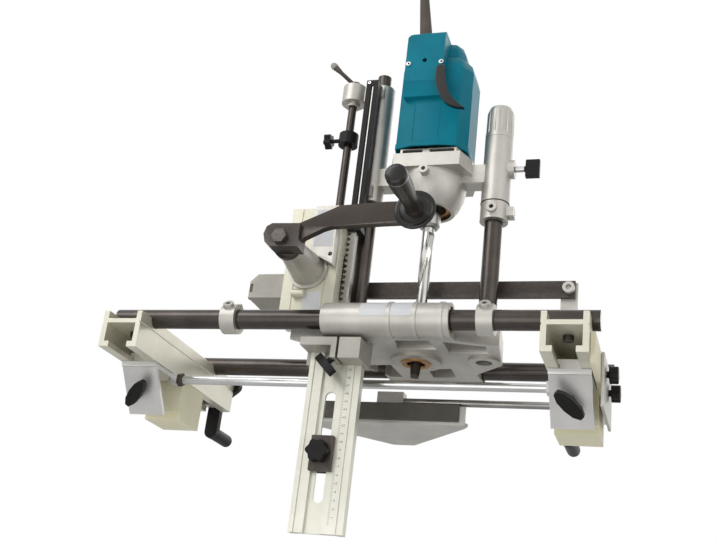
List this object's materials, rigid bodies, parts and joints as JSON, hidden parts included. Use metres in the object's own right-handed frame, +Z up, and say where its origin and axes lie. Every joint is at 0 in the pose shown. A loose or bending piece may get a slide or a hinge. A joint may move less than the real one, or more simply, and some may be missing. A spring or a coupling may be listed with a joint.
{
  "type": "mortising machine",
  "caption": "Portable lock mortising machine: a plunging motor head worked by a rack lever, on a carriage that slides along two bars between clamping rails.",
  "frame": {"origin": "where the spindle axis meets the plane of the clamp rails' lower lips, which rest on the work's edge", "axes": "+X to the operator's right along the guide bars, +Y away from the operator, +Z up along the spindle"},
  "size_m": [0.6366, 0.4829, 0.7876],
  "materials": {
    "left_rail": "satin anodised",
    "right_rail": "satin anodised",
    "front_bar": "dark polished",
    "rear_bar": "dark polished",
    "feed_strip": "blackened",
    "strip_bracket": "satin cast",
    "right_side_plate": "cream painted",
    "right_outer_plate": "satin cast",
    "side_knob_front": "moulded",
    "side_knob_rear": "moulded",
    "x_stop_left": "satin cast",
    "x_stop_right": "satin cast",
    "left_jaw_bracket": "satin cast",
    "right_jaw_bracket": "satin cast",
    "jaw_tie_rod": "polished",
    "left_jaw_wing": "moulded",
    "right_jaw_wing": "moulded",
    "left_jaw_block": "cream painted",
    "right_jaw_block": "cream painted",
    "steady_rod": "polished",
    "left_crank": "black painted",
    "right_crank": "black painted",
    "left_crank_grip": "moulded",
    "right_crank_grip": "moulded",
    "steady_foot": "satin cast",
    "steady_pad": "moulded",
    "base_casting": "satin cast",
    "front_bush": "turned",
    "rear_bush": "turned",
    "guide_bush": "turned",
    "left_column": "dark polished",
    "right_column": "dark polished",
    "gear_case": "satin anodised",
    "pedestal": "satin cast",
    "feed_block": "satin cast",
    "rail_holder": "satin cast",
    "holder_wing": "moulded",
    "gauge_rail": "satin anodised",
    "slot_clamp": "blackened",
    "slot_knob": "moulded",
    "lever_shaft": "machined",
    "lever_arm": "blackened",
    "lever_grip": "moulded",
    "head_casting": "satin cast",
    "motor_housing": "semi-gloss",
    "switch_box": "semi-gloss",
    "cord_boot": "matte",
    "stator": "plain",
    "lower_bearing": "machined",
    "rack_bar": "machined",
    "rack_cover": "moulded",
    "depth_rod": "blackened",
    "tower_cap": "satin cast",
    "tower_wing": "moulded",
    "switch_lever": "moulded",
    "spindle": "machined",
    "mortising_bit": "polished",
    "depth_collar": "blackened",
    "depth_knob": "moulded",
    "clamp_lever": "blackened"
  },
  "bodies": {
    "frame": {"left_rail": "left_rail", "right_rail": "right_rail", "front_bar": "front_bar", "rear_bar": "rear_bar", "feed_strip": "feed_strip", "strip_bracket": "strip_bracket", "right_side_plate": "right_side_plate", "right_outer_plate": "right_outer_plate"},
    "side_knob_front": {"side_knob_front": "side_knob_front"},
    "side_knob_rear": {"side_knob_rear": "side_knob_rear"},
    "x_stop_left": {"x_stop_left": "x_stop_left"},
    "x_stop_right": {"x_stop_right": "x_stop_right"},
    "front_jaws": {"left_jaw_bracket": "left_jaw_bracket", "right_jaw_bracket": "right_jaw_bracket", "jaw_tie_rod": "jaw_tie_rod"},
    "left_jaw_wing": {"left_jaw_wing": "left_jaw_wing"},
    "right_jaw_wing": {"right_jaw_wing": "right_jaw_wing"},
    "left_rear_jaw": {"left_jaw_block": "left_jaw_block"},
    "right_rear_jaw": {"right_jaw_block": "right_jaw_block", "steady_rod": "steady_rod"},
    "left_crank": {"left_crank": "left_crank"},
    "right_crank": {"right_crank": "right_crank"},
    "left_crank_grip": {"left_crank_grip": "left_crank_grip"},
    "right_crank_grip": {"right_crank_grip": "right_crank_grip"},
    "steady": {"steady_foot": "steady_foot", "steady_pad": "steady_pad"},
    "carriage": {"base_casting": "base_casting", "front_bush": "front_bush", "rear_bush": "rear_bush", "guide_bush": "guide_bush", "left_column": "left_column", "right_column": "right_column", "gear_case": "gear_case", "pedestal": "pedestal", "feed_block": "feed_block", "rail_holder": "rail_holder"},
    "holder_wing": {"holder_wing": "holder_wing"},
    "gauge": {"gauge_rail": "gauge_rail"},
    "slot_clamp": {"slot_clamp": "slot_clamp"},
    "slot_knob": {"slot_knob": "slot_knob"},
    "lever": {"lever_shaft": "lever_shaft", "lever_arm": "lever_arm"},
    "lever_grip": {"lever_grip": "lever_grip"},
    "head": {"head_casting": "head_casting", "motor_housing": "motor_housing", "switch_box": "switch_box", "cord_boot": "cord_boot", "stator": "stator", "lower_bearing": "lower_bearing", "rack_bar": "rack_bar", "rack_cover": "rack_cover", "depth_rod": "depth_rod"},
    "tower_cap": {"tower_cap": "tower_cap"},
    "tower_wing": {"tower_wing": "tower_wing"},
    "switch_lever": {"switch_lever": "switch_lever"},
    "spindle": {"spindle": "spindle", "mortising_bit": "mortising_bit"},
    "depth_collar": {"depth_collar": "depth_collar"},
    "depth_knob": {"depth_knob": "depth_knob"},
    "clamp_lever": {"clamp_lever": "clamp_lever"}
  },
  "joints": [
    {"name": "carriage_travel", "type": "slide", "parent": "frame", "child": "carriage", "axis": [1, 0, 0], "range_m": [-0.1, 0.024]},
    {"name": "lever_swing", "type": "hinge", "parent": "carriage", "child": "lever", "pos_m": [-0.141, 0, 0.134], "axis": [0, 1, 0], "range_deg": [0, 119.45]},
    {"name": "lever_grip_turn", "type": "hinge", "parent": "lever", "child": "lever_grip", "pos_m": [0.026, 0, 0.167], "axis": [0, 1, 0], "continuous": true},
    {"name": "plunge", "type": "slide", "parent": "carriage", "child": "head", "axis": [0, 0, 1], "range_m": [-0.087, 0]},
    {"name": "spindle_spin", "type": "hinge", "parent": "head", "child": "spindle", "pos_m": [0, 0, 0.25], "axis": [0, 0, 1], "continuous": true},
    {"name": "switch_press", "type": "hinge", "parent": "head", "child": "switch_lever", "pos_m": [0.014, 0, 0.427], "axis": [0, 1, 0], "range_deg": [0, 16]},
    {"name": "tower_cap_turn", "type": "hinge", "parent": "head", "child": "tower_cap", "pos_m": [0.088, 0, 0.375], "axis": [0, 0, 1], "continuous": true},
    {"name": "tower_wing_turn", "type": "hinge", "parent": "head", "child": "tower_wing", "pos_m": [0.12, 0, 0.305], "axis": [1, 0, 0], "range_deg": [-180, 180]},
    {"name": "clamp_lever_turn", "type": "hinge", "parent": "head", "child": "clamp_lever", "pos_m": [-0.1285, -0.01, 0.446], "axis": [0, 0, 1], "range_deg": [-60, 60]},
    {"name": "depth_collar_set", "type": "slide", "parent": "head", "child": "depth_collar", "axis": [0, 0, 1], "range_m": [-0.02, 0.04]},
    {"name": "depth_knob_turn", "type": "hinge", "parent": "depth_collar", "child": "depth_knob", "pos_m": [-0.15, -0.01, 0.358], "axis": [1, 0, 0], "continuous": true},
    {"name": "gauge_height", "type": "slide", "parent": "carriage", "child": "gauge", "axis": [0, 0, 1], "range_m": [-0.06, 0.03]},
    {"name": "holder_wing_turn", "type": "hinge", "parent": "carriage", "child": "holder_wing", "pos_m": [-0.075, -0.0935, 0.007], "axis": [-0.7071, 0, -0.7071], "range_deg": [-180, 180]},
    {"name": "slot_clamp_set", "type": "slide", "parent": "gauge", "child": "slot_clamp", "axis": [0, 0, 1], "range_m": [-0.03, 0.03]},
    {"name": "slot_knob_turn", "type": "hinge", "parent": "slot_clamp", "child": "slot_knob", "pos_m": [-0.0857, -0.09, -0.111], "axis": [0, 1, 0], "continuous": true},
    {"name": "front_jaw_set", "type": "slide", "parent": "frame", "child": "front_jaws", "axis": [0, 1, 0], "range_m": [-0.03, 0]},
    {"name": "left_jaw_wing_turn", "type": "hinge", "parent": "front_jaws", "child": "left_jaw_wing", "pos_m": [-0.355, -0.05391, -0.02955], "axis": [0, -0.788, -0.6157], "continuous": true},
    {"name": "right_jaw_wing_turn", "type": "hinge", "parent": "front_jaws", "child": "right_jaw_wing", "pos_m": [0.204, -0.05391, -0.02955], "axis": [0, -0.788, -0.6157], "continuous": true},
    {"name": "left_crank_turn", "type": "hinge", "parent": "frame", "child": "left_crank", "pos_m": [-0.355, 0.17, 0.02], "axis": [0, 1, 0], "range_deg": [0, 5400]},
    {"name": "right_crank_turn", "type": "hinge", "parent": "frame", "child": "right_crank", "pos_m": [0.204, 0.17, 0.02], "axis": [0, 1, 0], "range_deg": [0, 5400]},
    {"name": "left_rear_jaw_slide", "type": "slide", "parent": "frame", "child": "left_rear_jaw", "axis": [0, 1, 0], "range_m": [0, 0.061]},
    {"name": "right_rear_jaw_slide", "type": "slide", "parent": "frame", "child": "right_rear_jaw", "axis": [0, 1, 0], "range_m": [0, 0.061]},
    {"name": "left_grip_turn", "type": "hinge", "parent": "left_crank", "child": "left_crank_grip", "pos_m": [-0.355, 0.2, -0.03], "axis": [0, 1, 0], "continuous": true},
    {"name": "right_grip_turn", "type": "hinge", "parent": "right_crank", "child": "right_crank_grip", "pos_m": [0.17677, 0.2, -0.02193], "axis": [0, 1, 0], "continuous": true},
    {"name": "steady_slide", "type": "slide", "parent": "right_rear_jaw", "child": "steady", "axis": [1, 0, 0], "range_m": [-0.02, 0.06]},
    {"name": "x_stop_left_set", "type": "slide", "parent": "frame", "child": "x_stop_left", "axis": [1, 0, 0], "range_m": [-0.088, 0]},
    {"name": "x_stop_right_set", "type": "slide", "parent": "frame", "child": "x_stop_right", "axis": [1, 0, 0], "range_m": [0, 0.054]},
    {"name": "side_knob_front_turn", "type": "hinge", "parent": "frame", "child": "side_knob_front", "pos_m": [0.25, -0.017, 0.0125], "axis": [1, 0, 0], "continuous": true},
    {"name": "side_knob_rear_turn", "type": "hinge", "parent": "frame", "child": "side_knob_rear", "pos_m": [0.25, 0.0175, 0], "axis": [1, 0, 0], "continuous": true}
  ],
  "couplings": [
    {"joint": "plunge", "follows": "lever_swing", "m_per_rad": -0.04125},
    {"joint": "left_rear_jaw_slide", "follows": "left_crank_turn", "m_per_rad": 0.00063662},
    {"joint": "right_rear_jaw_slide", "follows": "right_crank_turn", "m_per_rad": 0.00063662}
  ]
}
